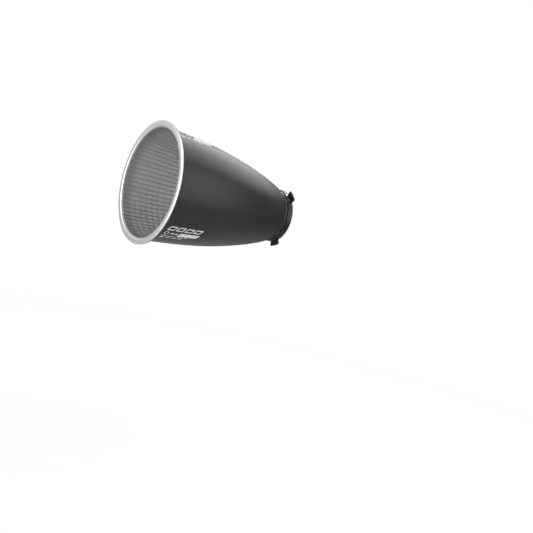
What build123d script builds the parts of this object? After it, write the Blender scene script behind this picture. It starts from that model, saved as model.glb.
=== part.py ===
from build123d import *
from math import atan, cos, radians, sin
import os

# A long bell-shaped snoot for a spotlight: a black spun shell over a bright faceted liner, a silver
# hoop round the mouth, and a three-lug bayonet collar at the back.
#
# The beam axis is Y. The mouth faces -Y and the lamp is on the +Y side. The origin is on the axis in the
# plane of the collar's rear face, which seats in the lamp. Lengths below are distances in front of that
# plane, so a point at distance s and radius r is (r, -s) in the half section. Angles round the axis are
# measured from +Z towards +X.

# Bell, from the neck to the mouth (outer surface of the shell)
SHELL_WALL = 1.3
NECK_REAR = 13.2
NECK_FRONT = 16.2
NECK_RADIUS = 51.9
BELL_REAR = 27.5
BELL_REAR_RADIUS = 58.0
BELL_REAR_SLOPE = 0.40
BELL_STATIONS = [(52.5, 66.9), (79.0, 74.6), (137.0, 87.9), (208.0, 98.0)]
BELL_FRONT_RADIUS = 104.2
BELL_FRONT_SLOPE = 0.07
LIP_RADIUS = 112.0
LIP_ROUND = 1.2

# Liner inside the shell
LINER_GAP = 0.7
LINER_WALL = 1.0
LINER_THROAT_RADIUS = 50.2

# Front hoop and what it clamps
GASKET_THICKNESS = 0.8
FLANGE_RADIUS = 110.4
LENGTH = 295.0
RIM_THICKNESS = 2.8
RIM_RADIUS = 113.4
RIM_INNER_RADIUS = 101.8
RIM_LAND_INNER_RADIUS = 106.0
RIM_LAND_OUTER_RADIUS = 109.0
RIM_FALL = 1.4
RIM_BACK_RADIUS = 112.2
RIM_SCREW_COUNT = 12
RIM_SCREW_CIRCLE = 107.4
RIM_SCREW_RADIUS = 1.45
RIM_SCREW_HEAD_RADIUS = 2.6
RIM_SCREW_HEAD_HEIGHT = 0.9
RIM_SCREW_ROUND = 0.4
RIM_SCREW_SOCKET_RADIUS = 1.15
RIM_SCREW_SOCKET_DEPTH = 0.6
RIM_SCREW_GRIP = 1.6
SCREW_CLEARANCE = 0.1

# Bayonet collar
THROAT_RADIUS = 49.0
COLLAR_RADIUS = 53.0
COLLAR_BAND = 11.0
COLLAR_FRONT = 12.2
SPIGOT_RADIUS = 50.5
SPIGOT_FRONT = 28.2

# Bayonet lugs: bent strips, each with a leg let into the collar and a tab that stands out
LUG_COUNT = 3
LUG_ANGLE = 42.0
LUG_ARC = 24.0
LUG_THICKNESS = 2.2
LUG_LEG_LENGTH = 10.0
LUG_TIP_RADIUS = 62.0
LUG_CLEARANCE = 0.1
LUG_CORNER_ROUND = 2.0
POCKET_ARC = 24.4
RIVET_SPREAD = 7.5
RIVET_DISTANCE = 6.3
RIVET_RADIUS = 1.6
RIVET_HEAD_RADIUS = 2.6
RIVET_HEAD_DEPTH = 0.9

# Keys that stop the shell from turning on the collar
NOTCH_WIDTH = 9.6
NOTCH_FRONT = 20.4
NOTCH_ROUND = 1.5
KEY_ARC = 9.6
KEY_REAR = 13.4
KEY_FRONT = 19.2
KEY_RADIUS = 51.6
KEY_SCREW_RADIUS = 1.25
KEY_SCREW_HEAD_RADIUS = 2.3
KEY_SCREW_HEAD_DEPTH = 0.6
KEY_SCREW_TIP_RADIUS = 49.3
KEY_SCREW_SOCKET_RADIUS = 0.9

# Gasket between the collar and the shell's rear edge
NECK_GASKET_RADIUS = 51.2

# Ring nut inside the bell, and the ring that clamps the liner to it
NUT_CLEARANCE = 0.1
NUT_REAR = 20.5
NUT_REAR_RADIUS = 51.2
NUT_MIDDLE = 24.5
NUT_MIDDLE_RADIUS = 54.1
NUT_FRONT = 28.7
NUT_FRONT_RADIUS = 56.6
NUT_SLOT_WIDTH = 4.0
NUT_SLOT_DEPTH = 1.6
THROAT_RING_THICKNESS = 2.0
THROAT_RING_RADIUS = 55.3
THROAT_RING_INNER_RADIUS = 49.4
THROAT_RING_BEVEL = 0.8
THROAT_SCREW_COUNT = 6
THROAT_SCREW_CIRCLE = 52.9
THROAT_SCREW_RADIUS = 1.2
THROAT_SCREW_HEAD_RADIUS = 2.0
THROAT_SCREW_HEAD_HEIGHT = 1.3
THROAT_SCREW_DEPTH = 3.5
THROAT_SCREW_ROUND = 0.25
THROAT_SCREW_SOCKET_RADIUS = 0.95
THROAT_SCREW_SOCKET_DEPTH = 0.8

# Planes that the stack of parts at the mouth and at the throat shares
RIM_REAR = LENGTH - RIM_THICKNESS
LINER_FLANGE_REAR = RIM_REAR - LINER_WALL
GASKET_REAR = LINER_FLANGE_REAR - GASKET_THICKNESS
BELL_FRONT = GASKET_REAR - SHELL_WALL
LINER_BACK_INSET = SHELL_WALL + LINER_GAP
LINER_FACE_INSET = LINER_BACK_INSET + LINER_WALL
LINER_THROAT_FRONT = NUT_FRONT + LINER_WALL
THROAT_RING_FRONT = LINER_THROAT_FRONT + THROAT_RING_THICKNESS
KEY_MIDDLE = (KEY_REAR + KEY_FRONT) / 2
LUG_LEG_RADIUS = COLLAR_RADIUS - LUG_THICKNESS

os.makedirs("parts", exist_ok=True)


def at(distance, radius):
    """A point of the half section."""
    return (radius, -distance)


def lug_angles():
    """The angles of the lugs round the axis, which the keys share."""
    return [LUG_ANGLE + turn * 360.0 / LUG_COUNT for turn in range(LUG_COUNT)]


def rivet_angles():
    """The angles of the rivets, two beside each other in each lug."""
    return [angle + side * RIVET_SPREAD for angle in lug_angles() for side in (-1, 1)]


def quarter(start, corner, end):
    """A quarter of an oval that leaves start towards corner and arrives at end from corner."""
    share = 0.5523
    first, middle, last = Vector(*start), Vector(*corner), Vector(*end)
    return Bezier(first, first + (middle - first) * share, last + (middle - last) * share, last)


def radial_plane(angle, radius, distance=0):
    """A plane that faces outwards from the axis, with its own y along +Y."""
    outward = Vector(sin(radians(angle)), 0, cos(radians(angle)))
    sideways = Vector(cos(radians(angle)), 0, -sin(radians(angle)))
    return Plane(origin=outward * radius + Vector(0, -distance, 0), x_dir=sideways, z_dir=outward)


def section_plane(angle):
    """A plane through the axis at an angle, with its own x outwards and y along +Y."""
    outward = Vector(sin(radians(angle)), 0, cos(radians(angle)))
    across = Vector(-cos(radians(angle)), 0, sin(radians(angle)))
    return Plane(origin=(0, 0, 0), x_dir=outward, z_dir=across)


def front_plane(distance):
    """A plane across the axis that faces the mouth side."""
    return Plane(origin=(0, -distance, 0), x_dir=(1, 0, 0), z_dir=(0, -1, 0))


def round_the_axis(radius, count):
    """Places spread evenly on a circle, the first one in line with the first lug."""
    return PolarLocations(radius, count, start_angle=90.0 - LUG_ANGLE)


def inset_point(distance, radius, slope, inset):
    """A point of the bell moved inwards, at right angles to the wall."""
    lean = atan(slope)
    return distance + inset * sin(lean), radius - inset * cos(lean)


def bell_curve(inset, rear, front):
    """The bell's curve, moved in by inset and run straight on to the two end planes."""
    stations = [(BELL_REAR, BELL_REAR_RADIUS)] + BELL_STATIONS + [(BELL_FRONT, BELL_FRONT_RADIUS)]
    points = []
    for before, here, after in zip(stations, stations[1:], stations[2:]):
        slope = (after[1] - before[1]) / (after[0] - before[0])
        points.append(at(*inset_point(*here, slope, inset)))
    rear_s, rear_r = inset_point(BELL_REAR, BELL_REAR_RADIUS, BELL_REAR_SLOPE, inset)
    front_s, front_r = inset_point(BELL_FRONT, BELL_FRONT_RADIUS, BELL_FRONT_SLOPE, inset)
    points.insert(0, at(rear, rear_r + (rear - rear_s) * BELL_REAR_SLOPE))
    points.append(at(front, front_r + (front - front_s) * BELL_FRONT_SLOPE))
    return Spline(points, tangents=[(BELL_REAR_SLOPE, -1), (BELL_FRONT_SLOPE, -1)])


def shell_side(inset, front):
    """One side of the shell's wall: straight neck, flared shoulder, then the bell. Gives its two ends."""
    shoulder_s, shoulder_r = inset_point(BELL_REAR, BELL_REAR_RADIUS, BELL_REAR_SLOPE, inset)
    neck = Line(at(NECK_REAR, NECK_RADIUS - inset), at(NECK_FRONT, NECK_RADIUS - inset))
    Spline(neck @ 1, at(shoulder_s, shoulder_r), tangents=[(0, -1), (BELL_REAR_SLOPE, -1)])
    bell = bell_curve(inset, shoulder_s, front)
    return neck @ 0, bell @ 1


# Outer shell: spun aluminium with three notches in the neck, and a front flange that turns out and then
# forwards, so that its lip covers the edges of the gasket and the liner
with BuildPart() as outer_shell:
    with BuildSketch(Plane.XY) as wall:
        with BuildLine():
            outer_neck, outer_front = shell_side(0, BELL_FRONT)
            inner_neck, inner_front = shell_side(SHELL_WALL, GASKET_REAR)
            Line(outer_neck, inner_neck)
            Polyline(
                outer_front,
                at(BELL_FRONT, LIP_RADIUS),
                at(RIM_REAR, LIP_RADIUS),
                at(RIM_REAR, LIP_RADIUS - SHELL_WALL),
                at(GASKET_REAR, LIP_RADIUS - SHELL_WALL),
                inner_front,
            )
        make_face()
        fillet(wall.vertices().group_by(Axis.X)[-1].sort_by(Axis.Y)[-1], LIP_ROUND)
    revolve(axis=Axis.Y)
    for angle in lug_angles():
        with BuildSketch(radial_plane(angle, NECK_RADIUS / 2)) as notch:
            with Locations((0, -NOTCH_FRONT)):
                Rectangle(NOTCH_WIDTH, NOTCH_FRONT, align=(Align.CENTER, Align.MIN))
            fillet(notch.vertices().group_by(Axis.Y)[0], NOTCH_ROUND)
        extrude(amount=NECK_RADIUS, mode=Mode.SUBTRACT)
    with BuildSketch(front_plane(BELL_FRONT)):
        with round_the_axis(RIM_SCREW_CIRCLE, RIM_SCREW_COUNT):
            Circle(RIM_SCREW_RADIUS + SCREW_CLEARANCE)
    extrude(amount=SHELL_WALL, mode=Mode.SUBTRACT)
outer_shell.part.label = "outer_shell"
export_step(outer_shell.part, "parts/outer_shell.step")

# Inner reflector: bright spun liner, flanged outwards at the mouth and inwards at the throat
with BuildPart() as inner_reflector:
    with BuildSketch(Plane.XY):
        with BuildLine():
            back = bell_curve(LINER_BACK_INSET, NUT_FRONT, LINER_FLANGE_REAR)
            face = bell_curve(LINER_FACE_INSET, LINER_THROAT_FRONT, RIM_REAR)
            Polyline(
                back @ 1,
                at(LINER_FLANGE_REAR, FLANGE_RADIUS),
                at(RIM_REAR, FLANGE_RADIUS),
                face @ 1,
            )
            Polyline(
                back @ 0,
                at(NUT_FRONT, LINER_THROAT_RADIUS),
                at(LINER_THROAT_FRONT, LINER_THROAT_RADIUS),
                face @ 0,
            )
        make_face()
    revolve(axis=Axis.Y)
    with BuildSketch(front_plane(LINER_FLANGE_REAR)):
        with round_the_axis(RIM_SCREW_CIRCLE, RIM_SCREW_COUNT):
            Circle(RIM_SCREW_RADIUS + SCREW_CLEARANCE)
    extrude(amount=LINER_WALL, mode=Mode.SUBTRACT)
    with BuildSketch(front_plane(NUT_FRONT)):
        with round_the_axis(THROAT_SCREW_CIRCLE, THROAT_SCREW_COUNT):
            Circle(THROAT_SCREW_RADIUS + SCREW_CLEARANCE)
    extrude(amount=LINER_WALL, mode=Mode.SUBTRACT)
inner_reflector.part.label = "inner_reflector"
export_step(inner_reflector.part, "parts/inner_reflector.step")

# Front rim: silver hoop with a narrow flat land that falls away in a curve to both sides
with BuildPart() as front_rim:
    with BuildSketch(Plane.XY):
        with BuildLine():
            edge_distance = LENGTH - RIM_FALL
            Line(at(LENGTH, RIM_LAND_INNER_RADIUS), at(LENGTH, RIM_LAND_OUTER_RADIUS))
            quarter(
                at(LENGTH, RIM_LAND_OUTER_RADIUS),
                at(LENGTH, RIM_RADIUS),
                at(edge_distance, RIM_RADIUS),
            )
            quarter(
                at(edge_distance, RIM_RADIUS),
                at(RIM_REAR, RIM_RADIUS),
                at(RIM_REAR, RIM_BACK_RADIUS),
            )
            Polyline(
                at(RIM_REAR, RIM_BACK_RADIUS),
                at(RIM_REAR, RIM_INNER_RADIUS),
                at(edge_distance, RIM_INNER_RADIUS),
            )
            quarter(
                at(edge_distance, RIM_INNER_RADIUS),
                at(LENGTH, RIM_INNER_RADIUS),
                at(LENGTH, RIM_LAND_INNER_RADIUS),
            )
        make_face()
    revolve(axis=Axis.Y)
    with BuildSketch(front_plane(RIM_REAR)):
        with round_the_axis(RIM_SCREW_CIRCLE, RIM_SCREW_COUNT):
            Circle(RIM_SCREW_RADIUS + SCREW_CLEARANCE / 2)
    extrude(amount=RIM_SCREW_GRIP + SCREW_CLEARANCE, mode=Mode.SUBTRACT)
front_rim.part.label = "front_rim"
export_step(front_rim.part, "parts/front_rim.step")

# Rim gasket: flat ring between the shell's flange and the liner's flange
with BuildPart() as rim_gasket:
    with BuildSketch(front_plane(GASKET_REAR)):
        Circle(FLANGE_RADIUS)
        Circle(BELL_FRONT_RADIUS, mode=Mode.SUBTRACT)
        with round_the_axis(RIM_SCREW_CIRCLE, RIM_SCREW_COUNT):
            Circle(RIM_SCREW_RADIUS + SCREW_CLEARANCE, mode=Mode.SUBTRACT)
    extrude(amount=GASKET_THICKNESS)
rim_gasket.part.label = "rim_gasket"
export_step(rim_gasket.part, "parts/rim_gasket.step")

# Rim screws: low heads behind the flange, threaded into blind holes in the rim
with BuildPart() as rim_screws:
    with BuildSketch(front_plane(BELL_FRONT - RIM_SCREW_HEAD_HEIGHT)):
        with round_the_axis(RIM_SCREW_CIRCLE, RIM_SCREW_COUNT):
            Circle(RIM_SCREW_HEAD_RADIUS)
    extrude(amount=RIM_SCREW_HEAD_HEIGHT)
    fillet(rim_screws.edges().filter_by(GeomType.CIRCLE).group_by(Axis.Y)[-1], RIM_SCREW_ROUND)
    with BuildSketch(front_plane(BELL_FRONT)):
        with round_the_axis(RIM_SCREW_CIRCLE, RIM_SCREW_COUNT):
            Circle(RIM_SCREW_RADIUS)
    extrude(amount=RIM_REAR + RIM_SCREW_GRIP - BELL_FRONT)
    with BuildSketch(front_plane(BELL_FRONT - RIM_SCREW_HEAD_HEIGHT)):
        with round_the_axis(RIM_SCREW_CIRCLE, RIM_SCREW_COUNT):
            RegularPolygon(radius=RIM_SCREW_SOCKET_RADIUS, side_count=6)
    extrude(amount=RIM_SCREW_SOCKET_DEPTH, mode=Mode.SUBTRACT)
rim_screws.part.label = "rim_screws"
export_step(rim_screws.part, "parts/rim_screws.step")

# Bayonet collar: rear band with pockets for the lugs, and a long spigot through the shell's neck
with BuildPart() as bayonet_collar:
    with BuildSketch(Plane.XY):
        with BuildLine():
            Polyline(
                at(0, THROAT_RADIUS),
                at(0, COLLAR_RADIUS),
                at(COLLAR_BAND, COLLAR_RADIUS),
                at(COLLAR_FRONT, NECK_RADIUS),
                at(COLLAR_FRONT, SPIGOT_RADIUS),
                at(SPIGOT_FRONT, SPIGOT_RADIUS),
                at(SPIGOT_FRONT, THROAT_RADIUS),
                close=True,
            )
        make_face()
    revolve(axis=Axis.Y)
    for angle in lug_angles():
        with BuildSketch(section_plane(angle - POCKET_ARC / 2)):
            with Locations(at(0, LUG_LEG_RADIUS)):
                Rectangle(
                    LUG_THICKNESS * 2,
                    LUG_LEG_LENGTH + LUG_CLEARANCE,
                    align=(Align.MIN, Align.MAX),
                )
        revolve(axis=Axis.Y, revolution_arc=POCKET_ARC, mode=Mode.SUBTRACT)
        with BuildSketch(radial_plane(angle, KEY_SCREW_TIP_RADIUS, KEY_MIDDLE)):
            Circle(KEY_SCREW_RADIUS)
        extrude(amount=KEY_RADIUS - KEY_SCREW_TIP_RADIUS, mode=Mode.SUBTRACT)
    for angle in rivet_angles():
        with BuildSketch(radial_plane(angle, THROAT_RADIUS / 2, RIVET_DISTANCE)):
            Circle(RIVET_HEAD_RADIUS)
        extrude(amount=THROAT_RADIUS / 2 + RIVET_HEAD_DEPTH, mode=Mode.SUBTRACT)
        with BuildSketch(radial_plane(angle, THROAT_RADIUS, RIVET_DISTANCE)):
            Circle(RIVET_RADIUS)
        extrude(amount=LUG_THICKNESS * 2, mode=Mode.SUBTRACT)
bayonet_collar.part.label = "bayonet_collar"
export_step(bayonet_collar.part, "parts/bayonet_collar.step")

# Bayonet lugs: bent steel strips, each in a node of its own
for number, angle in enumerate(lug_angles(), start=1):
    with BuildPart() as bayonet_lug:
        with BuildSketch(section_plane(angle - LUG_ARC / 2)):
            with BuildLine():
                Polyline(
                    at(0, LUG_LEG_RADIUS),
                    at(0, LUG_TIP_RADIUS),
                    at(LUG_THICKNESS, LUG_TIP_RADIUS),
                    at(LUG_THICKNESS, COLLAR_RADIUS),
                    at(LUG_LEG_LENGTH, COLLAR_RADIUS),
                    at(LUG_LEG_LENGTH, LUG_LEG_RADIUS),
                    close=True,
                )
            make_face()
        revolve(axis=Axis.Y, revolution_arc=LUG_ARC)
        tab_edges = bayonet_lug.edges().filter_by(Axis.Y).filter_by(
            lambda edge: abs(edge.length - LUG_THICKNESS) < LUG_CLEARANCE
        )
        fillet(tab_edges, LUG_CORNER_ROUND)
        for rivet_angle in (angle - RIVET_SPREAD, angle + RIVET_SPREAD):
            with BuildSketch(radial_plane(rivet_angle, THROAT_RADIUS, RIVET_DISTANCE)):
                Circle(RIVET_RADIUS)
            extrude(amount=COLLAR_RADIUS, mode=Mode.SUBTRACT)
            with BuildSketch(radial_plane(rivet_angle, COLLAR_RADIUS - RIVET_HEAD_DEPTH, RIVET_DISTANCE)):
                Circle(RIVET_HEAD_RADIUS)
            extrude(amount=COLLAR_RADIUS, mode=Mode.SUBTRACT)
    name = f"bayonet_lug_{number}"
    bayonet_lug.part.label = name
    export_step(bayonet_lug.part, f"parts/{name}.step")

# Lug rivets: two for each lug, flush in the throat and in the lug's leg
with BuildPart() as lug_rivets:
    for angle in rivet_angles():
        with BuildSketch(radial_plane(angle, THROAT_RADIUS, RIVET_DISTANCE)):
            Circle(RIVET_HEAD_RADIUS)
        extrude(amount=RIVET_HEAD_DEPTH)
        with BuildSketch(radial_plane(angle, THROAT_RADIUS, RIVET_DISTANCE)):
            Circle(RIVET_RADIUS)
        extrude(amount=COLLAR_RADIUS - THROAT_RADIUS)
        with BuildSketch(radial_plane(angle, COLLAR_RADIUS - RIVET_HEAD_DEPTH, RIVET_DISTANCE)):
            Circle(RIVET_HEAD_RADIUS)
        extrude(amount=RIVET_HEAD_DEPTH)
lug_rivets.part.label = "lug_rivets"
export_step(lug_rivets.part, "parts/lug_rivets.step")

# Neck gasket: flat ring between the collar's shoulder and the shell's rear edge
with BuildPart() as neck_gasket:
    with BuildSketch(front_plane(COLLAR_FRONT)):
        Circle(NECK_GASKET_RADIUS)
        Circle(SPIGOT_RADIUS, mode=Mode.SUBTRACT)
    extrude(amount=NECK_REAR - COLLAR_FRONT)
neck_gasket.part.label = "neck_gasket"
export_step(neck_gasket.part, "parts/neck_gasket.step")

# Neck keys: three blocks on the spigot that stand in the shell's notches
with BuildPart() as neck_keys:
    for angle in lug_angles():
        with BuildSketch(section_plane(angle - KEY_ARC / 2)):
            with Locations(at(KEY_REAR, SPIGOT_RADIUS)):
                Rectangle(
                    KEY_RADIUS - SPIGOT_RADIUS,
                    KEY_FRONT - KEY_REAR,
                    align=(Align.MIN, Align.MAX),
                )
        revolve(axis=Axis.Y, revolution_arc=KEY_ARC)
    for angle in lug_angles():
        with BuildSketch(radial_plane(angle, SPIGOT_RADIUS / 2, KEY_MIDDLE)):
            Circle(KEY_SCREW_RADIUS)
        extrude(amount=SPIGOT_RADIUS, mode=Mode.SUBTRACT)
        with BuildSketch(radial_plane(angle, KEY_RADIUS - KEY_SCREW_HEAD_DEPTH, KEY_MIDDLE)):
            Circle(KEY_SCREW_HEAD_RADIUS)
        extrude(amount=SPIGOT_RADIUS, mode=Mode.SUBTRACT)
neck_keys.part.label = "neck_keys"
export_step(neck_keys.part, "parts/neck_keys.step")

# Key screws: short flat-headed screws that hold the keys to the spigot
with BuildPart() as key_screws:
    for angle in lug_angles():
        with BuildSketch(radial_plane(angle, KEY_SCREW_TIP_RADIUS, KEY_MIDDLE)):
            Circle(KEY_SCREW_RADIUS)
        extrude(amount=KEY_RADIUS - KEY_SCREW_HEAD_DEPTH - KEY_SCREW_TIP_RADIUS)
        with BuildSketch(radial_plane(angle, KEY_RADIUS - KEY_SCREW_HEAD_DEPTH, KEY_MIDDLE)):
            Circle(KEY_SCREW_HEAD_RADIUS)
        extrude(amount=KEY_SCREW_HEAD_DEPTH)
        with BuildSketch(radial_plane(angle, KEY_RADIUS - KEY_SCREW_HEAD_DEPTH, KEY_MIDDLE)):
            RegularPolygon(radius=KEY_SCREW_SOCKET_RADIUS, side_count=6)
        extrude(amount=KEY_SCREW_HEAD_DEPTH, mode=Mode.SUBTRACT)
key_screws.part.label = "key_screws"
export_step(key_screws.part, "parts/key_screws.step")

# Lock ring: ring nut on the spigot that pulls the shell's shoulder back against the collar
with BuildPart() as lock_ring:
    with BuildSketch(Plane.XY):
        with BuildLine():
            Polyline(
                at(NUT_REAR, SPIGOT_RADIUS + NUT_CLEARANCE),
                at(NUT_REAR, NUT_REAR_RADIUS),
                at(NUT_MIDDLE, NUT_MIDDLE_RADIUS),
                at(NUT_FRONT, NUT_FRONT_RADIUS),
                at(NUT_FRONT, SPIGOT_RADIUS + NUT_CLEARANCE),
                close=True,
            )
        make_face()
    revolve(axis=Axis.Y)
    with BuildSketch(front_plane(NUT_FRONT - THROAT_SCREW_DEPTH)):
        with round_the_axis(THROAT_SCREW_CIRCLE, THROAT_SCREW_COUNT):
            Circle(THROAT_SCREW_RADIUS + SCREW_CLEARANCE / 2)
    extrude(amount=THROAT_SCREW_DEPTH, mode=Mode.SUBTRACT)
    with BuildSketch(front_plane(NUT_FRONT - NUT_SLOT_DEPTH)):
        Rectangle(2 * NUT_FRONT_RADIUS, NUT_SLOT_WIDTH, rotation=-LUG_ANGLE)
    extrude(amount=NUT_SLOT_DEPTH, mode=Mode.SUBTRACT)
lock_ring.part.label = "lock_ring"
export_step(lock_ring.part, "parts/lock_ring.step")

# Throat ring: flat ring, bevelled inside, that clamps the liner's throat flange to the lock ring
with BuildPart() as throat_ring:
    with BuildSketch(Plane.XY) as ring_section:
        with Locations(at(LINER_THROAT_FRONT, THROAT_RING_INNER_RADIUS)):
            Rectangle(
                THROAT_RING_RADIUS - THROAT_RING_INNER_RADIUS,
                THROAT_RING_THICKNESS,
                align=(Align.MIN, Align.MAX),
            )
        chamfer(ring_section.vertices().group_by(Axis.Y)[0], THROAT_RING_BEVEL)
    revolve(axis=Axis.Y)
    with BuildSketch(front_plane(LINER_THROAT_FRONT)):
        with round_the_axis(THROAT_SCREW_CIRCLE, THROAT_SCREW_COUNT):
            Circle(THROAT_SCREW_RADIUS + SCREW_CLEARANCE)
    extrude(amount=THROAT_RING_THICKNESS, mode=Mode.SUBTRACT)
throat_ring.part.label = "throat_ring"
export_step(throat_ring.part, "parts/throat_ring.step")

# Throat screws: cap screws through the throat ring and the liner into the lock ring
with BuildPart() as throat_screws:
    with BuildSketch(front_plane(THROAT_RING_FRONT)):
        with round_the_axis(THROAT_SCREW_CIRCLE, THROAT_SCREW_COUNT):
            Circle(THROAT_SCREW_HEAD_RADIUS)
    extrude(amount=THROAT_SCREW_HEAD_HEIGHT)
    fillet(throat_screws.edges().filter_by(GeomType.CIRCLE).group_by(Axis.Y)[0], THROAT_SCREW_ROUND)
    with BuildSketch(front_plane(NUT_FRONT - THROAT_SCREW_DEPTH + SCREW_CLEARANCE)):
        with round_the_axis(THROAT_SCREW_CIRCLE, THROAT_SCREW_COUNT):
            Circle(THROAT_SCREW_RADIUS)
    extrude(amount=THROAT_RING_FRONT - NUT_FRONT + THROAT_SCREW_DEPTH - SCREW_CLEARANCE)
    with BuildSketch(front_plane(THROAT_RING_FRONT + THROAT_SCREW_HEAD_HEIGHT - THROAT_SCREW_SOCKET_DEPTH)):
        with round_the_axis(THROAT_SCREW_CIRCLE, THROAT_SCREW_COUNT):
            RegularPolygon(radius=THROAT_SCREW_SOCKET_RADIUS, side_count=6)
    extrude(amount=THROAT_SCREW_SOCKET_DEPTH, mode=Mode.SUBTRACT)
throat_screws.part.label = "throat_screws"
export_step(throat_screws.part, "parts/throat_screws.step")
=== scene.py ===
import math

import bmesh
import bpy
import numpy as np
from mathutils import Matrix, Vector


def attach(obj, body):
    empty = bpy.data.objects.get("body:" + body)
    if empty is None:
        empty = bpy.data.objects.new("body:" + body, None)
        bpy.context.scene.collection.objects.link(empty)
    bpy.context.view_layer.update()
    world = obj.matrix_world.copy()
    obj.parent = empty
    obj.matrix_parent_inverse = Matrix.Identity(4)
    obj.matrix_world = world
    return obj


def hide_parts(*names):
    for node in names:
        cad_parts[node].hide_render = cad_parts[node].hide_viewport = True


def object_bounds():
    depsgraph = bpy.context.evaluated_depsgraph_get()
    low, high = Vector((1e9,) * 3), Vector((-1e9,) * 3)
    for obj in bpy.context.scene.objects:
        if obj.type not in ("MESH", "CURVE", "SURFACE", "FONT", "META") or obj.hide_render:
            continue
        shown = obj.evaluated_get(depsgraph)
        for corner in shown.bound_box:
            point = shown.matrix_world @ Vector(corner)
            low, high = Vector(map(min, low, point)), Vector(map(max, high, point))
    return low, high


# The looks of a bell-shaped snoot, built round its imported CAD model. The beam axis is Y and the mouth faces
# -Y. Outlines are half sections in millimetres: a distance in front of the collar's rear face (the plane
# y = 0), and a radius. Angles round the axis are in degrees from +Z towards +X.

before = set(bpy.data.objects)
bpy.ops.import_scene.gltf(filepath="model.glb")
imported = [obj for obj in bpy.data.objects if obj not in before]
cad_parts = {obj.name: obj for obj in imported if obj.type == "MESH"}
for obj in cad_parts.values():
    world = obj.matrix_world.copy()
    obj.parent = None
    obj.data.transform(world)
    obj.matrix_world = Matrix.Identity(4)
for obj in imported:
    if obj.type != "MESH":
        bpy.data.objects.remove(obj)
cad_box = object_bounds()

MM = 0.001
TURN = 360.0

# Shell: neck, flared shoulder and bell (outer surface), as in the CAD model
SHELL_WALL = 1.3
NECK_REAR = 13.2
NECK_FRONT = 16.2
NECK_RADIUS = 51.9
SHOULDER_HANDLES = [(22.0, 51.9), (23.3, 56.3)]
SHOULDER_POINTS = 60
BELL_REAR = (27.5, 58.0)
BELL_REAR_SLOPE = 0.40
BELL_STATIONS = [(52.5, 66.9), (79.0, 74.6), (137.0, 87.9), (208.0, 98.0)]
BELL_FRONT = (289.1, 104.2)
BELL_FRONT_SLOPE = 0.07
BELL_POINTS = 500
RUN_ON = 10.0
FLANGE_BEND = 0.8
LIP_RADIUS = 112.0
LIP_ROUND = 1.2
LIP_EDGE_ROUND = 0.2
LIP_FLOOR_ROUND = 0.3
SHELL_STEPS = 360
SHELL_STATION = 4.0
SHOULDER_STATION = 0.6

# Notches in the neck, in line with the lugs
LUG_COUNT = 3
LUG_ANGLE = 42.0
NOTCH_WIDTH = 9.6
NOTCH_FRONT = 20.4
NOTCH_ROUND = 1.5
NOTCH_OVERRUN = 2.0
NOTCH_REACH = 6.0

# Holes for the screws that hold the hoop
RIM_SCREW_COUNT = 12
RIM_SCREW_CIRCLE = 107.4
RIM_SCREW_HOLE = 1.55
RIM_SCREW_GRIP = 1.7
HOLE_OVERRUN = 1.0
HOLE_SIDES = 24

# Liner: a spun wall pressed with rows of facets. Each facet is a grid of quads, FACET_GRID each way
LINER_INSET = 2.0
LINER_WALL = 1.0
LINER_THROAT = 28.7
LINER_THROAT_RADIUS = 50.2
LINER_THROAT_RUN = 3.0
LINER_THROAT_BACK_BEND = 0.8
LINER_THROAT_FACE_BEND = 0.6
LINER_FLANGE = 291.2
LINER_FLANGE_RADIUS = 110.4
LINER_FLANGE_RUN = 8.0
LINER_BACK_END = 12.0
LINER_BEND = 0.5
FACET_ROWS = 72
FACET_RINGS = 21
FACET_GRID = 4
FACET_REAR = 35.0
FACET_FRONT = 290.6
FACET_RISE_ACROSS = 1.00
FACET_RISE_ALONG = 0.45
FACET_MOUTH_SHARE = 0.25
FACET_EASE_RINGS = 5.0

# Painted shade on the liner: it darkens the seams between rows from a share near the mouth to all of it deep
# in the bell, as (distance, share). In the lower half, between two heights, there is less of it between rows
# and more between rings. The first ring has painted shade, fully at one distance and not at all at the next.
SEAM_WIDTH = 0.20
ROW_SHADE_FRONT = (290.0, 0.10)
ROW_SHADE_DEEP = (175.0, 1.0)
ROW_SHADE_LOW = 0.1
RING_SHADE_LOW = 0.40
LOWER_HALF = (-60.0, -5.0)
MOUTH_SHADE_RING = (291.8, 268.0)

# Hoop round the mouth
LENGTH = 295.0
HOOP_REAR = 292.2
HOOP_RADIUS = 113.4
HOOP_BACK_RADIUS = 112.2
HOOP_INNER_RADIUS = 101.8
HOOP_LAND = (106.0, 109.0)
HOOP_FALL = 1.4
HOOP_STEPS = 360

# Fineness of the small curves, and the angle from which an edge is shown sharp
BEND_POINTS = 5
QUARTER_STEPS = 8
SHARP_ANGLE = 30.0
FLAT_WEIGHT = 80


# ---------------------------------------------------------------- outlines

def clamped_spline(points, first_slope, last_slope):
    """A smooth curve through the points, with the slopes given at its two ends."""
    x, y = np.array(points, float).T
    gap = np.diff(x)
    rise = np.diff(y) / gap
    count = len(x)
    system = np.eye(count)
    right = np.zeros(count)
    right[0], right[-1] = first_slope, last_slope
    for i in range(1, count - 1):
        system[i, i - 1 : i + 2] = (1 / gap[i - 1], 2 / gap[i - 1] + 2 / gap[i], 1 / gap[i])
        right[i] = 3 * (rise[i - 1] / gap[i - 1] + rise[i] / gap[i])
    slope = np.linalg.solve(system, right)

    def value(at):
        i = np.clip(np.searchsorted(x, at) - 1, 0, count - 2)
        t = (at - x[i]) / gap[i]
        start = (2 * t**3 - 3 * t**2 + 1) * y[i] + (t**3 - 2 * t**2 + t) * gap[i] * slope[i]
        end = (3 * t**2 - 2 * t**3) * y[i + 1] + (t**3 - t**2) * gap[i] * slope[i + 1]
        return start + end

    return value


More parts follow.
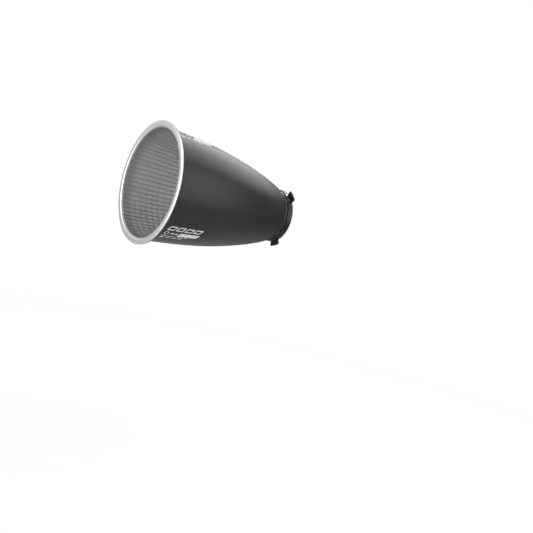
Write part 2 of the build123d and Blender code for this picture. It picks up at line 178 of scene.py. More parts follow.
def bezier(start, first_handle, second_handle, end, steps):
    """Points along one cubic curve."""
    t = np.linspace(0, 1, steps)[:, None]
    ends = (1 - t) ** 3 * np.array(start) + t**3 * np.array(end)
    middle = 3 * (1 - t) ** 2 * t * np.array(first_handle) + 3 * (1 - t) * t**2 * np.array(second_handle)
    return ends + middle


def shell_outline():
    """The shell's outer surface, from the neck's rear edge to the mouth, as close points."""
    neck = [(NECK_REAR, NECK_RADIUS)]
    shoulder = bezier((NECK_FRONT, NECK_RADIUS), *SHOULDER_HANDLES, BELL_REAR, SHOULDER_POINTS)
    bell = clamped_spline([BELL_REAR, *BELL_STATIONS, BELL_FRONT], BELL_REAR_SLOPE, BELL_FRONT_SLOPE)
    along = np.linspace(BELL_REAR[0], BELL_FRONT[0], BELL_POINTS)[1:]
    run_on = [(BELL_FRONT[0] + RUN_ON, BELL_FRONT[1] + RUN_ON * BELL_FRONT_SLOPE)]
    return np.vstack([neck, shoulder, np.column_stack([along, bell(along)]), run_on])


OUTLINE = shell_outline()


def radius_at(distance, inset=0.0):
    """The radius of the shell's outer surface, or of that surface moved in at right angles to the wall."""
    s, r = OUTLINE.T
    lean = np.arctan(np.gradient(r, s))
    return np.interp(distance, s + inset * np.sin(lean), r - inset * np.cos(lean))


def wall_line(rear, front, inset):
    """Points of the wall from one distance to another, closer together on the shoulder."""
    shoulder = np.arange(rear, BELL_REAR[0], SHOULDER_STATION) if rear < BELL_REAR[0] else np.array([rear])
    start = shoulder[-1] + SHELL_STATION / 2
    bell = np.linspace(start, front, int((front - start) / SHELL_STATION) + 1)
    along = np.concatenate([shoulder, bell])
    return [(s, radius_at(s, inset)) for s in along]


def rounded(corner, before, after, radius):
    """The arc that replaces a corner between two neighbouring points, as BEND_POINTS points."""
    corner, before, after = (np.array(p, float) for p in (corner, before, after))
    back = (before - corner) / np.linalg.norm(before - corner)
    ahead = (after - corner) / np.linalg.norm(after - corner)
    half = math.acos(np.clip(back @ ahead, -1, 1)) / 2
    centre = corner + (back + ahead) / np.linalg.norm(back + ahead) * radius / math.sin(half)
    first = corner + back * radius / math.tan(half) - centre
    last = corner + ahead * radius / math.tan(half) - centre
    sweep = math.pi - 2 * half
    points = []
    for share in np.linspace(0, 1, BEND_POINTS):
        arm = (math.sin((1 - share) * sweep) * first + math.sin(share * sweep) * last) / math.sin(sweep)
        points.append(tuple(centre + arm))
    return points


def quarter(start, corner, end):
    """A quarter of an oval that leaves start towards corner and arrives at end from corner."""
    start, corner, end = (np.array(p, float) for p in (start, corner, end))
    centre = start + end - corner
    points = []
    for i in range(QUARTER_STEPS + 1):
        turn = math.pi / 2 * i / QUARTER_STEPS
        points.append(tuple(centre + (start - centre) * math.cos(turn) + (end - centre) * math.sin(turn)))
    return points


def outline_with_rounds(corners):
    """A closed outline from (distance, radius, round) corners. A round that isn't 0 makes an arc."""
    points = []
    for i, (s, r, round_radius) in enumerate(corners):
        before, after = corners[i - 1][:2], corners[(i + 1) % len(corners)][:2]
        if round_radius:
            points += rounded((s, r), before, after, round_radius)
        else:
            points.append((s, r))
    return points


# ---------------------------------------------------------------- meshes

def place(distance, radius, angle):
    """A point in the row frame, in metres."""
    turn = math.radians(angle)
    return (radius * math.sin(turn) * MM, -distance * MM, radius * math.cos(turn) * MM)


def new_piece(name, vertices, faces, sharp_angle=SHARP_ANGLE):
    """A mesh object with smooth faces, and sharp edges where faces meet at more than an angle."""
    mesh = bpy.data.meshes.new(name)
    mesh.from_pydata(vertices, [], faces)
    work = bmesh.new()
    work.from_mesh(mesh)
    bmesh.ops.recalc_face_normals(work, faces=work.faces)
    work.to_mesh(mesh)
    work.free()
    mesh.shade_smooth()
    mesh.set_sharp_from_angle(angle=math.radians(sharp_angle))
    piece = bpy.data.objects.new(name, mesh)
    bpy.context.scene.collection.objects.link(piece)
    return piece


def grid_faces(columns, rows, close_columns=True, close_rows=True):
    """Quads of a grid whose vertices run row by row inside each column."""
    faces = []
    for i in range(columns if close_columns else columns - 1):
        for j in range(rows if close_rows else rows - 1):
            i2, j2 = (i + 1) % columns, (j + 1) % rows
            faces.append((i * rows + j, i2 * rows + j, i2 * rows + j2, i * rows + j2))
    return faces


def lathe(name, outline, steps):
    """Turns a closed outline once round the beam axis."""
    vertices = [place(s, r, i * TURN / steps) for i in range(steps) for s, r in outline]
    return new_piece(name, vertices, grid_faces(steps, len(outline)))


def keep_flats_flat(piece):
    """Weighs normals by face area, so that the rounds take the shading and the flats stay flat."""
    modifier = piece.modifiers.new("weighted", "WEIGHTED_NORMAL")
    modifier.keep_sharp = True
    modifier.weight = FLAT_WEIGHT


def apply_modifiers(piece):
    """Turns the piece's modifiers into its mesh."""
    bpy.context.view_layer.update()
    evaluated = piece.evaluated_get(bpy.context.evaluated_depsgraph_get())
    mesh = bpy.data.meshes.new_from_object(evaluated)
    piece.modifiers.clear()
    piece.data = mesh


def round_the_axis(count):
    """Angles spread evenly round the axis, the first one in line with the first lug."""
    return [LUG_ANGLE + i * TURN / count for i in range(count)]


def prism_faces(base, count):
    """Faces of a prism whose first vertex is base, with count vertices in each of its two ends."""
    sides = [(i, (i + 1) % count) for i in range(count)]
    walls = [(base + i, base + i2, base + count + i2, base + count + i) for i, i2 in sides]
    near_end = tuple(range(base, base + count))
    far_end = tuple(range(base + 2 * count - 1, base + count - 1, -1))
    return walls + [near_end, far_end]


def rim_screw_pins(rear, front):
    """Solid round pins along the axis, to be cut out of what the hoop's screws go through."""
    vertices, faces = [], []
    for angle in round_the_axis(RIM_SCREW_COUNT):
        base = len(vertices)
        turn = math.radians(angle)
        x, z = RIM_SCREW_CIRCLE * math.sin(turn), RIM_SCREW_CIRCLE * math.cos(turn)
        for s in (rear, front):
            for i in range(HOLE_SIDES):
                a = 2 * math.pi * i / HOLE_SIDES
                across, up = RIM_SCREW_HOLE * math.cos(a), RIM_SCREW_HOLE * math.sin(a)
                vertices.append(((x + across) * MM, -s * MM, (z + up) * MM))
        faces += prism_faces(base, HOLE_SIDES)
    return vertices, faces


def notch_blocks():
    """Blocks with two rounded front corners, to be cut out of the neck."""
    half = NOTCH_WIDTH / 2
    outline = outline_with_rounds([
        (NOTCH_FRONT, -half, NOTCH_ROUND),
        (NOTCH_FRONT, half, NOTCH_ROUND),
        (NECK_REAR - NOTCH_OVERRUN, half, 0),
        (NECK_REAR - NOTCH_OVERRUN, -half, 0),
    ])
    vertices, faces = [], []
    for angle in round_the_axis(LUG_COUNT):
        base = len(vertices)
        turn = math.radians(angle)
        for reach in (NECK_RADIUS - NOTCH_REACH, NECK_RADIUS + NOTCH_REACH):
            for s, across in outline:
                x = reach * math.sin(turn) + across * math.cos(turn)
                z = reach * math.cos(turn) - across * math.sin(turn)
                vertices.append((x * MM, -s * MM, z * MM))
        faces += prism_faces(base, len(outline))
    return vertices, faces


def cut(piece, *tools):
    """Takes the tools' volume out of the piece."""
    vertices, faces = [], []
    for tool_vertices, tool_faces in tools:
        base = len(vertices)
        vertices += tool_vertices
        faces += [tuple(base + i for i in face) for face in tool_faces]
    cutter = new_piece("cutter", vertices, faces)
    modifier = piece.modifiers.new("cut", "BOOLEAN")
    modifier.object = cutter
    modifier.operation = "DIFFERENCE"
    modifier.solver = "EXACT"
    apply_modifiers(piece)
    bpy.data.objects.remove(cutter)
    piece.data.set_sharp_from_angle(angle=math.radians(SHARP_ANGLE))


# ---------------------------------------------------------------- pieces

def make_shell():
    """Spun shell: neck with three notches, shoulder, bell, and a flange that turns out and then forwards."""
    front_s, front_r = BELL_FRONT
    inner_front = radius_at(front_s + SHELL_WALL, SHELL_WALL)
    outside = wall_line(NECK_REAR, front_s, 0.0)[:-1]
    inside = wall_line(NECK_REAR, front_s + SHELL_WALL, SHELL_WALL)[:-1]
    outside[0] = (NECK_REAR, NECK_RADIUS)
    flange = outline_with_rounds([
        (*outside[-1], 0),
        (front_s, front_r, FLANGE_BEND),
        (front_s, LIP_RADIUS, LIP_ROUND),
        (HOOP_REAR, LIP_RADIUS, LIP_EDGE_ROUND),
        (HOOP_REAR, LIP_RADIUS - SHELL_WALL, LIP_EDGE_ROUND),
        (front_s + SHELL_WALL, LIP_RADIUS - SHELL_WALL, LIP_FLOOR_ROUND),
        (front_s + SHELL_WALL, inner_front, FLANGE_BEND + SHELL_WALL),
        (*inside[-1], 0),
    ])
    outline = outside[:-1] + flange + inside[-2::-1]
    shell = lathe("bell_shell", outline, SHELL_STEPS)
    holes = rim_screw_pins(front_s - HOLE_OVERRUN, front_s + SHELL_WALL + HOLE_OVERRUN)
    cut(shell, notch_blocks(), holes)
    keep_flats_flat(shell)
    return shell


def facet_height(across, along, rings_from_mouth):
    """How far a facet stands in, at a place in it that runs from 0 to 1 each way: two arches added. The arch
    along the bell is low at the mouth, and grows from ring to ring until it is full."""
    arch_across = 1 - (2 * across - 1) ** 2
    arch_along = 1 - (2 * along - 1) ** 2
    share = min(1.0, FACET_MOUTH_SHARE + rings_from_mouth / FACET_EASE_RINGS)
    return FACET_RISE_ACROSS * arch_across + share * FACET_RISE_ALONG * arch_along


def crease_facets(mesh, rows, last_ring):
    """Marks the edges between facets sharp, in a mesh made of columns of that many rows."""
    ends = np.zeros(len(mesh.edges) * 2, int)
    mesh.edges.foreach_get("vertices", ends)
    column, row = np.divmod(ends.reshape(-1, 2), rows)
    on_facets = (row <= last_ring).all(axis=1)
    between_rows = (column[:, 0] == column[:, 1]) & (column[:, 0] % FACET_GRID == 0)
    between_rings = (row[:, 0] == row[:, 1]) & (row[:, 0] % FACET_GRID == 0)
    sharp = mesh.attributes["sharp_edge"]
    flags = np.zeros(len(mesh.edges), bool)
    sharp.data.foreach_get("value", flags)
    sharp.data.foreach_set("value", flags | (on_facets & (between_rows | between_rings)))


def make_liner():
    """Spun liner: facets that run out to the mouth's edge and rise over the first ring from the throat, a
    smooth back, and a flange at each end."""
    steps = FACET_ROWS * FACET_GRID
    rings = FACET_RINGS * FACET_GRID
    face_inset = LINER_INSET + LINER_WALL
    mouth_face = LINER_FLANGE + LINER_WALL
    throat_face = LINER_THROAT + LINER_WALL
    back_front = LINER_FLANGE - LINER_FLANGE_RUN
    back_rear = LINER_THROAT + LINER_THROAT_RUN
    mouth_corner = outline_with_rounds([
        (FACET_FRONT, radius_at(FACET_FRONT, face_inset), 0),
        (mouth_face, radius_at(mouth_face, face_inset), LINER_BEND),
        (mouth_face, LINER_FLANGE_RADIUS, 0),
        (LINER_FLANGE, LINER_FLANGE_RADIUS, 0),
        (LINER_FLANGE, radius_at(LINER_FLANGE, LINER_INSET), LINER_BEND + LINER_WALL),
        (back_front, radius_at(back_front, LINER_INSET), 0),
    ])[1:]
    back = wall_line(back_rear, LINER_FLANGE - LINER_BACK_END, LINER_INSET)[::-1]
    throat_corner = outline_with_rounds([
        (back_rear, radius_at(back_rear, LINER_INSET), 0),
        (LINER_THROAT, radius_at(LINER_THROAT, LINER_INSET), LINER_THROAT_BACK_BEND),
        (LINER_THROAT, LINER_THROAT_RADIUS, 0),
        (throat_face, LINER_THROAT_RADIUS, 0),
        (throat_face, radius_at(throat_face, face_inset), LINER_THROAT_FACE_BEND),
        (FACET_REAR, radius_at(FACET_REAR, face_inset), 0),
    ])[1:-1]
    vertices = []
    for i in range(steps):
        angle = i * TURN / steps
        across = i % FACET_GRID / FACET_GRID
        column = []
        for j in range(rings + 1):
            s = FACET_REAR + (FACET_FRONT - FACET_REAR) * j / rings
            height = facet_height(across, j % FACET_GRID / FACET_GRID, (rings - j) / FACET_GRID)
            rise = min(1.0, j / FACET_GRID) * height
            column.append((s, radius_at(s, face_inset + rise)))
        edge = facet_height(across, 0.0, 0.0)
        column += [(s, r - edge) for s, r in mouth_corner[:BEND_POINTS]] + mouth_corner[BEND_POINTS:]
        column += back + throat_corner
        vertices += [place(s, r, angle) for s, r in column]
    rows = len(column)
    liner = new_piece("faceted_liner", vertices, grid_faces(steps, rows))
    crease_facets(liner.data, rows, rings)
    return liner


def make_hoop():
    """Hoop: a narrow flat land that falls away in a curve to both sides."""
    edge = LENGTH - HOOP_FALL
    land_inner, land_outer = HOOP_LAND
    outline = quarter((LENGTH, land_outer), (LENGTH, HOOP_RADIUS), (edge, HOOP_RADIUS))
    outline += quarter((edge, HOOP_RADIUS), (HOOP_REAR, HOOP_RADIUS), (HOOP_REAR, HOOP_BACK_RADIUS))[1:]
    outline += [(HOOP_REAR, HOOP_INNER_RADIUS)]
    outline += quarter((edge, HOOP_INNER_RADIUS), (LENGTH, HOOP_INNER_RADIUS), (LENGTH, land_inner))
    hoop = lathe("mouth_hoop", outline, HOOP_STEPS)
    cut(hoop, rim_screw_pins(HOOP_REAR - HOLE_OVERRUN, HOOP_REAR + RIM_SCREW_GRIP))
    keep_flats_flat(hoop)
    return hoop


# ---------------------------------------------------------------- materials

class Finish:
    """A material that is put together node by node round one Principled shader."""

    def __init__(self, name, metallic=0.0, specular=0.5):
        self.material = bpy.data.materials.new(name)
        self.material.use_nodes = True
        self.tree = self.material.node_tree
        self.shader = self.tree.nodes["Principled BSDF"]
        self.shader.inputs["Metallic"].default_value = metallic
        self.shader.inputs["Specular IOR Level"].default_value = specular
        self.place = self.add("ShaderNodeTexCoord").outputs["Object"]

    def add(self, kind, **settings):
        node = self.tree.nodes.new(kind)
        for setting, value in settings.items():
            setattr(node, setting, value)
        return node

    def put(self, socket, source):
        if hasattr(source, "is_output"):
            self.tree.links.new(source, socket)
        else:
            socket.default_value = source

    def math(self, operation, *values):
        node = self.add("ShaderNodeMath", operation=operation)
        for socket, value in zip(node.inputs, values):
            self.put(socket, value)
        return node.outputs[0]

    def axis_place(self):
        """The distance from the beam axis, the place along it, and the turn round it."""
        split = self.add("ShaderNodeSeparateXYZ")
        self.put(split.inputs[0], self.place)
        x, y, z = split.outputs
        radius = self.math("SQRT", self.math("ADD", self.math("MULTIPLY", x, x), self.math("MULTIPLY", z, z)))
        return radius, y, self.math("ARCTAN2", x, z)

    def vector(self, x, y, z):
        node = self.add("ShaderNodeCombineXYZ")
        for socket, value in zip(node.inputs, (x, y, z)):
            self.put(socket, value)
        return node.outputs[0]

    def noise(self, scale, detail=3.0, where=None):
        node = self.add("ShaderNodeTexNoise")
        self.put(node.inputs["Vector"], self.place if where is None else where)
        node.inputs["Scale"].default_value = scale
        node.inputs["Detail"].default_value = detail
        return node.outputs["Fac"]

    def turning(self, pitch, detail=2.0):
        """Noise that is the same all the way round the axis, as a lathe tool leaves it."""
        radius, along, _ = self.axis_place()
        return self.noise(1 / pitch, detail, self.vector(radius, along, 0.0))

    def spread(self, value, low, high, start=0.3, end=0.7):
        """Maps start and end to low and high, and what lies between them evenly. Noise mostly keeps to the
        range from 0.3 to 0.7."""
        node = self.add("ShaderNodeMapRange")
        for socket, number in zip(node.inputs, (value, start, end, low, high)):
            self.put(socket, number)
        return node.outputs[0]

    def mix(self, share, first, second):
        """Mixes two colours, through the Mix node's colour sockets."""
        node = self.add("ShaderNodeMix", data_type="RGBA")
        self.put(node.inputs["Factor"], share)
        self.put(node.inputs[6], (*first, 1) if isinstance(first, tuple) else first)
        self.put(node.inputs[7], (*second, 1) if isinstance(second, tuple) else second)
        return node.outputs[2]

    def seam(self, place):
        """1 where a place that counts cells crosses from one cell to the next, and 0 in the cells."""
        off_line = self.math("PINGPONG", place, 0.5)
        return self.spread(off_line, 1.0, 0.0, 0.0, SEAM_WIDTH)

    def clouds(self, scale, detail, first, second):
        """A colour that drifts between two tones."""
        return self.mix(self.spread(self.noise(scale, detail), 0, 1), first, second)

    def color(self, source):
        self.put(self.shader.inputs["Base Color"], source)

    def roughness(self, source):
        self.put(self.shader.inputs["Roughness"], source)

    def bump(self, *layers):
        """Stacks bumps. Each layer is (height source, depth in metres)."""
        normal = None
        for height, depth in layers:
            node = self.add("ShaderNodeBump")
            node.inputs["Distance"].default_value = depth
            self.put(node.inputs["Height"], height)
            if normal is not None:
                self.put(node.inputs["Normal"], normal)
            normal = node.outputs[0]
        self.put(self.shader.inputs["Normal"], normal)

    def worn_edge(self, width):
        """1 along edges and 0 on flats, broken up a little."""
        bevel = self.add("ShaderNodeBevel", samples=6)
        bevel.inputs["Radius"].default_value = width
        normal = self.add("ShaderNodeNewGeometry").outputs["Normal"]
        agree = self.add("ShaderNodeVectorMath", operation="DOT_PRODUCT")
        self.put(agree.inputs[0], bevel.outputs[0])
        self.put(agree.inputs[1], normal)
        edge = self.spread(agree.outputs["Value"], 1.0, 0.0, 0.80, 0.98)
        return self.math("MULTIPLY", edge, self.spread(self.noise(900, 3), 0.2, 1.0))


def shell_coating():
    """Semi-matt black coating with a fine texture over faint spinning rings."""
    finish = Finish("coating_black", specular=0.28)
    finish.color(finish.clouds(22, 4, (0.016, 0.016, 0.017), (0.020, 0.020, 0.021)))
    finish.roughness(finish.spread(finish.noise(60, 4), 0.34, 0.40))
    finish.bump((finish.turning(0.006), 0.00004), (finish.noise(1500, 2), 0.00002))
    return finish.material


def liner_anodising():
    """Satin silver anodising, where no two facets take quite the same tone, with painted shade on the first
    ring.
    Painted shade darkens the seams between rows deep in the bell, and the seams between rings in its lower
    half."""
    finish = Finish("anodised_liner", metallic=1.0)
    radius, along, turn = finish.axis_place()
    row_place = finish.math("MULTIPLY", turn, FACET_ROWS / (2 * math.pi))
    ring_length = (FACET_FRONT - FACET_REAR) / FACET_RINGS * MM
    ring_place = finish.math("DIVIDE", finish.math("ADD", along, FACET_REAR * MM), -ring_length)
    random = finish.add("ShaderNodeTexWhiteNoise", noise_dimensions="3D")
    row, ring = finish.math("FLOOR", row_place), finish.math("FLOOR", ring_place)
    finish.put(random.inputs["Vector"], finish.vector(row, ring, 0.0))
    pale = finish.mix(random.outputs["Value"], (0.91, 0.91, 0.915), (0.96, 0.96, 0.965))
    # Painted shade in the seams between facets: darker deeper in the bell, and between rings in the lower
    # half.
    (front, front_share), (deep, deep_share) = ROW_SHADE_FRONT, ROW_SHADE_DEEP
    depth = finish.spread(along, front_share, deep_share, -front * MM, -deep * MM)
    height = finish.math("MULTIPLY", radius, finish.math("COSINE", turn))
    low = finish.spread(height, 1.0, 0.0, *(edge * MM for edge in LOWER_HALF))
    row_share = finish.math("MULTIPLY", depth, finish.spread(low, 1.0, ROW_SHADE_LOW, 0.0, 1.0))
    ring_share = finish.spread(low, 0.0, RING_SHADE_LOW, 0.0, 1.0)
    row_shade = finish.math("MULTIPLY", finish.seam(row_place), row_share)
    ring_shade = finish.math("MULTIPLY", finish.seam(ring_place), ring_share)
    seam_shaded = finish.mix(finish.math("MAXIMUM", row_shade, ring_shade), pale, (0.28, 0.28, 0.285))
    # Painted shade on the first ring next to the mouth, darker than the facets further in.
    mouth_shade = finish.spread(along, 1.0, 0.0, *(-edge * MM for edge in MOUTH_SHADE_RING))
    finish.color(finish.mix(mouth_shade, seam_shaded, (0.50, 0.50, 0.505)))
    finish.roughness(finish.spread(finish.noise(140, 2), 0.28, 0.36))
    return finish.material


def hoop_anodising():
    """Silver hoop, faced on a lathe and anodised: fine rings under a satin sheen."""
    finish = Finish("anodised_hoop", metallic=1.0)
    finish.color(finish.clouds(45, 3, (0.63, 0.63, 0.635), (0.69, 0.69, 0.695)))
    finish.roughness(finish.spread(finish.turning(0.0009), 0.26, 0.38))
    finish.bump((finish.turning(0.0007), 0.00003), (finish.noise(2200, 2), 0.000008))
    return finish.material


def black_anodising_and_shade():
    """Black anodised collar with turning marks, and bright metal showing at worn edges. Its black is partly
    painted shade, darker than the anodising alone, for the gap behind it.
    """
    finish = Finish("anodised_black_and_shade", specular=0.3)
    edge = finish.worn_edge(0.0003)
    # Painted shade: the collar's black is darker than the anodising alone, for the gap behind it.
    base = finish.clouds(60, 4, (0.005, 0.005, 0.006), (0.010, 0.010, 0.011))
    finish.color(finish.mix(finish.math("MULTIPLY", edge, 0.35), base, (0.16, 0.16, 0.165)))
    finish.roughness(finish.spread(finish.turning(0.0012), 0.26, 0.38))
    finish.bump((finish.turning(0.0009), 0.00003))
    return finish.material


def key_coating_and_shade():
    """Matt black on the small keys, darkened to near nothing as painted shade of the notches they sit in."""
    finish = Finish("key_black_and_shade", specular=0.1)
    # Painted shade: a near-zero black that stands for the shade inside the notches.
    finish.color(finish.clouds(400, 3, (0.003, 0.003, 0.003), (0.006, 0.006, 0.006)))
    finish.roughness(finish.spread(finish.noise(500, 3), 0.55, 0.70))
    finish.bump((finish.noise(1500, 3), 0.00002))
    return finish.material


def machined_metal():
    """Bare turned aluminium."""
    finish = Finish("turned_aluminium", metallic=1.0)
    finish.color(finish.clouds(50, 4, (0.54, 0.54, 0.55), (0.66, 0.66, 0.66)))
    finish.roughness(finish.spread(finish.turning(0.0008), 0.24, 0.40))
    finish.bump((finish.turning(0.0007), 0.00004))
    return finish.material


def plated_steel(name, pale, dark, wear):
    """Plated steel with a rolled grain, duller where it is handled and bright at its edges."""
    finish = Finish(name, metallic=1.0)
    edge = finish.math("MULTIPLY", finish.worn_edge(0.00025), wear)
    finish.color(finish.mix(edge, finish.clouds(120, 5, dark, pale), (0.72, 0.72, 0.73)))
    finish.roughness(finish.spread(finish.noise(420, 4), 0.24, 0.42))
    finish.bump((finish.noise(1600, 3), 0.00002))
    return finish.material


def oxide_steel(name, wear):
    """Black oxide on steel, rubbed through at the edges."""
    finish = Finish(name, metallic=0.6)
    edge = finish.math("MULTIPLY", finish.worn_edge(0.0003), wear)
    finish.color(finish.mix(edge, (0.030, 0.030, 0.033), (0.35, 0.35, 0.36)))
    finish.roughness(finish.spread(finish.noise(700, 4), 0.30, 0.48))
    finish.bump((finish.noise(2600, 3), 0.00001))
    return finish.material


def rubber():
    """Matt black rubber with a dusty bloom."""
    finish = Finish("rubber_black", specular=0.3)
    finish.color(finish.clouds(180, 5, (0.012, 0.012, 0.012), (0.028, 0.028, 0.028)))
    finish.roughness(finish.spread(finish.noise(300, 4), 0.65, 0.85))
    finish.bump((finish.noise(1400, 4), 0.00004))
    return finish.material


def printing_ink():
    """Screen-printed white ink with a slightly uneven film."""
    finish = Finish("ink_white", specular=0.4)
    finish.color(finish.clouds(900, 4, (0.74, 0.74, 0.74), (0.86, 0.86, 0.855)))
    finish.roughness(finish.spread(finish.noise(500, 3), 0.45, 0.60))
    finish.bump((finish.noise(2400, 2), 0.00001))
    return finish.material


def paper():
    """White paper. To the camera it glows with distance, so that no horizon shows. In reflections it takes a
    painted shade that makes it a dim floor, and dimmer still behind the object."""
    finish = Finish("floor_paper", specular=0.1)
    distance = finish.add("ShaderNodeVectorMath", operation="LENGTH")
    finish.put(distance.inputs[0], finish.place)
    far = finish.spread(distance.outputs["Value"], FLOOR_GLOW, 1.0, *FLOOR_FADE)
    _, along, _ = finish.axis_place()
    # Painted shade behind the object, for the floor as seen in reflections.
    shade_behind = finish.spread(along, 0.0, 1.0, *SHADE_BEHIND)
    seen = finish.add("ShaderNodeLightPath").outputs["Is Camera Ray"]
    pale = finish.clouds(6, 3, (0.90, 0.90, 0.90), (0.92, 0.92, 0.92))
    # Painted shade: the floor's dim colour in reflections, dimmer still behind the object.
    dim = finish.mix(shade_behind, (0.58, 0.58, 0.58), (0.25, 0.25, 0.25))
    finish.color(finish.mix(seen, dim, pale))
    finish.roughness(finish.spread(finish.noise(40, 3), 0.85, 0.95))
    finish.bump((finish.noise(300, 3), 0.00005))
    glow = finish.add("ShaderNodeEmission")
    both = finish.add("ShaderNodeMixShader")
    finish.put(both.inputs[0], finish.math("MULTIPLY", far, seen))
    finish.put(both.inputs[1], finish.shader.outputs[0])
    finish.put(both.inputs[2], glow.outputs[0])
    finish.put(finish.tree.nodes["Material Output"].inputs["Surface"], both.outputs[0])
    return finish.material


# ---------------------------------------------------------------- printed marks

# Ink: how far it stands off the shell and reaches into it, and the size of its quads. A label's arcs are
# true lengths at its middle
MARK_LIFT = 0.05
MARK_BURY = 0.03
MARK_STEP = 2.0
MARK_SHARP_ANGLE = 40.0
MARK_MERGE = 1e-7
BAR_CORNER_STEPS = 4
LABEL_ANGLES = [21.0, 141.0, 261.0]
LABEL_MIDDLE = 241.0

# Upper line of a label: leaning four-sided outlines in a row
LOZENGE_COUNT = 4
LOZENGE_START = 277.0
LOZENGE_PITCH = 18.0
LOZENGE_LENGTH = 14.0
LOZENGE_ARCS = (-7.5, -18.0)
LOZENGE_SLANT = -5.0
LOZENGE_STROKE = 2.2
LOZENGE_OUTER_ROUND = 0.9
LOZENGE_INNER_ROUND = 0.3

# Middle line: a ring, two short bars and a wide leaning bar
RING_MIDDLE = (272.0, 1.0)
RING_RADII = (3.4, 4.6)
RING_STEPS = 28
SHORT_BARS = [(263.0, 256.5), (254.5, 249.5)]
SHORT_BAR_ARCS = (-0.6, 2.6)
SHORT_BAR_ROUND = 0.7
WIDE_BAR = (244.0, 204.0)
WIDE_BAR_ARCS = (-3.0, 7.0)
WIDE_BAR_SLANT = 4.0
WIDE_BAR_ROUND = 1.5

# Two lower lines: thin bars, the second line led by a thick one
THIN_BARS = [(278.0, 266.0), (264.0, 255.0), (253.0, 247.0), (245.0, 233.0), (231.0, 223.0)]
THIN_BAR_ARCS = (9.4, 11.0)
LEAD_BAR = (278.0, 270.0)
LEAD_BAR_ARCS = (14.0, 16.6)
LEAD_BAR_ROUND = 0.6
LAST_BARS = [(266.0, 258.0), (253.0, 244.0), (242.0, 233.0)]
LAST_BAR_ARCS = (14.4, 16.2)
THIN_BAR_ROUND = 0.4


def mark(outline_pairs, angle):
    """One thin shape of ink that follows the shell. Each pair is the two edges of a slice across the shape,
    as (distance, arc) in mm, where arc runs round the shell from the label's own middle."""
    vertices = []
    slices = len(outline_pairs)
    rows = max(int(math.dist(first, second) / MARK_STEP) + 2 for first, second in outline_pairs)
    for height in (MARK_LIFT, -MARK_BURY):
        for first, second in outline_pairs:
            for j in range(rows):
                share = j / (rows - 1)
                s = first[0] + (second[0] - first[0]) * share
                arc = first[1] + (second[1] - first[1]) * share
                turn = math.degrees(arc / radius_at(LABEL_MIDDLE))
                vertices.append(place(s, radius_at(s) + height, angle + turn))
    top = grid_faces(slices, rows, False, False)
    size = slices * rows
    bottom = [tuple(size + i for i in reversed(face)) for face in top]
    edge = list(range(rows))
    edge += [i * rows + rows - 1 for i in range(1, slices)]
    edge += [(slices - 1) * rows + j for j in range(rows - 2, -1, -1)]
    edge += [i * rows for i in range(slices - 2, 0, -1)]
    walls = [(a, b, size + b, size + a) for a, b in zip(edge, edge[1:] + edge[:1])]
    return vertices, top + bottom + walls


def bar_slices(span, arcs, corner, slant=0.0):
    """Slices of a bar that runs back from the first distance of its span to the second. Its ends lean by
    slant, and its corners are rounded."""
    (start, end), (low, high) = span, arcs
    length = start - end
    count = max(1, int(length / MARK_STEP))
    steps = [length * i / count for i in range(count + 1)]
    turns = [math.pi / 2 * i / BAR_CORNER_STEPS for i in range(BAR_CORNER_STEPS + 1)]
    first_corner = [corner * (1 - math.cos(turn)) for turn in turns]
    last_corner = [length - step for step in first_corner[::-1]]
    slices = []
    for step in first_corner + [step for step in steps if corner < step < length - corner] + last_corner:
        short = max(0.0, corner - min(step, length - step))
        cut_back = corner - math.sqrt(corner**2 - short**2)
        slices.append(((start - step, low + cut_back), (start - step + slant, high - cut_back)))
    return slices


def ring_slices(middle, radii):
    """Slices of a ring."""
    slices = []
    for i in range(RING_STEPS + 1):
        turn = 2 * math.pi * i / RING_STEPS
        c, s = math.cos(turn), math.sin(turn)
        slices.append(tuple((middle[0] + radius * c, middle[1] + radius * s) for radius in radii))
    return slices


def lozenge_outline(start, inset, corner):
    """A leaning four-sided outline with rounded corners, moved in by inset on all sides."""
    low, high = LOZENGE_ARCS
    ends = []
    for arc in (low, high):
        inner = arc + math.copysign(inset, (low + high) / 2 - arc)
        shift = (inner - low) * LOZENGE_SLANT / (high - low)
        ends.append(((start - inset + shift, inner), (start - LOZENGE_LENGTH + inset + shift, inner)))
    (a, b), (d, c) = ends
    return outline_with_rounds([(*point, corner) for point in (a, b, c, d)])


def lozenge_slices(start):
    """Slices of a hollow four-sided shape, with its sides divided so that they can follow the shell."""
    outer = np.array(lozenge_outline(start, 0.0, LOZENGE_OUTER_ROUND))
    inner = np.array(lozenge_outline(start, LOZENGE_STROKE, LOZENGE_INNER_ROUND))
    slices = []
    for a, b, inner_a, inner_b in zip(outer, np.roll(outer, -1, 0), inner, np.roll(inner, -1, 0)):
        steps = int(math.dist(a, b) / MARK_STEP) + 1
        for share in np.arange(steps) / steps:
            slices.append((tuple(a + (b - a) * share), tuple(inner_a + (inner_b - inner_a) * share)))
    return slices + slices[:1]


def label_shapes():
    """A label of plain shapes. Distances run back from the mouth, and arcs run downwards."""
    shapes = [lozenge_slices(LOZENGE_START - i * LOZENGE_PITCH) for i in range(LOZENGE_COUNT)]
    shapes.append(ring_slices(RING_MIDDLE, RING_RADII))
    shapes += [bar_slices(span, SHORT_BAR_ARCS, SHORT_BAR_ROUND) for span in SHORT_BARS]
    shapes.append(bar_slices(WIDE_BAR, WIDE_BAR_ARCS, WIDE_BAR_ROUND, WIDE_BAR_SLANT))
    shapes += [bar_slices(span, THIN_BAR_ARCS, THIN_BAR_ROUND) for span in THIN_BARS]
    shapes.append(bar_slices(LEAD_BAR, LEAD_BAR_ARCS, LEAD_BAR_ROUND))
    shapes += [bar_slices(span, LAST_BAR_ARCS, THIN_BAR_ROUND) for span in LAST_BARS]
    return shapes


